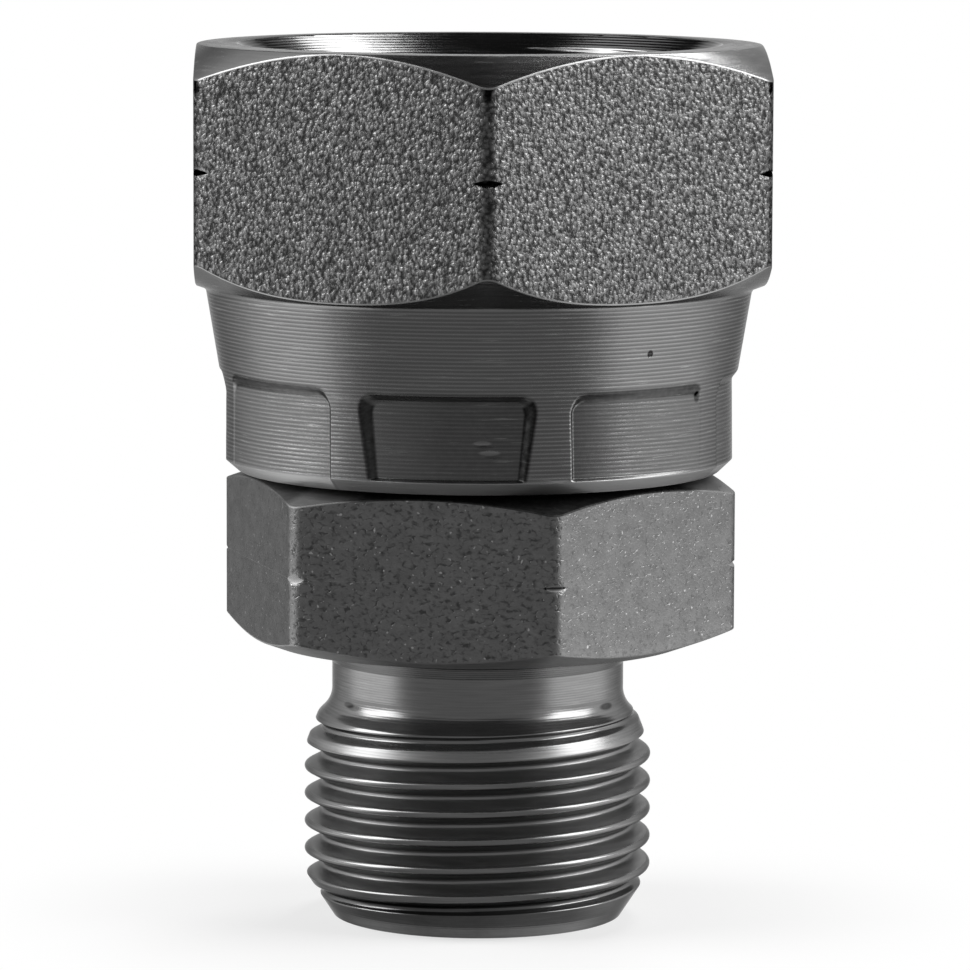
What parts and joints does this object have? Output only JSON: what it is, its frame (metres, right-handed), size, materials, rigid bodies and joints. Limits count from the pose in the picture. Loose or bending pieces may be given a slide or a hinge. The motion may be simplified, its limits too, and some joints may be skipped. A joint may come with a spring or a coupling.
{
  "type": "hydraulic swivel adaptor",
  "caption": "Zinc-plated steel hydraulic adaptor: parallel-thread male stud, hexagon body and a crimped swivel nut that turns on a 60 degree coned nose.",
  "frame": {"origin": "centre of the male end face, on which the part stands", "axes": "+Z along the common axis of body and nut, from the male end up to the nut's mouth; two flats of the body hexagon face -Y and +Y, and two of its corners lie on X"},
  "size_m": [0.0298, 0.0298, 0.0419],
  "materials": {
    "body_steel": "zinc-plated steel, finely pitted drawn flats and turned stud",
    "nut_steel": "zinc-plated steel, coarse orange-peel flats and turned skirt with crimping pads",
    "seal_rubber": "moulded nitrile rubber, satin black"
  },
  "bodies": {
    "adapter": {"adapter_body": "body_steel", "nose_o_ring": "seal_rubber"},
    "nut": {"swivel_nut": "nut_steel"}
  },
  "joints": [
    {"name": "nut_swivel", "type": "hinge", "parent": "adapter", "child": "nut", "pos_m": [0, 0, 0.027], "axis": [0, 0, 1], "continuous": true}
  ]
}
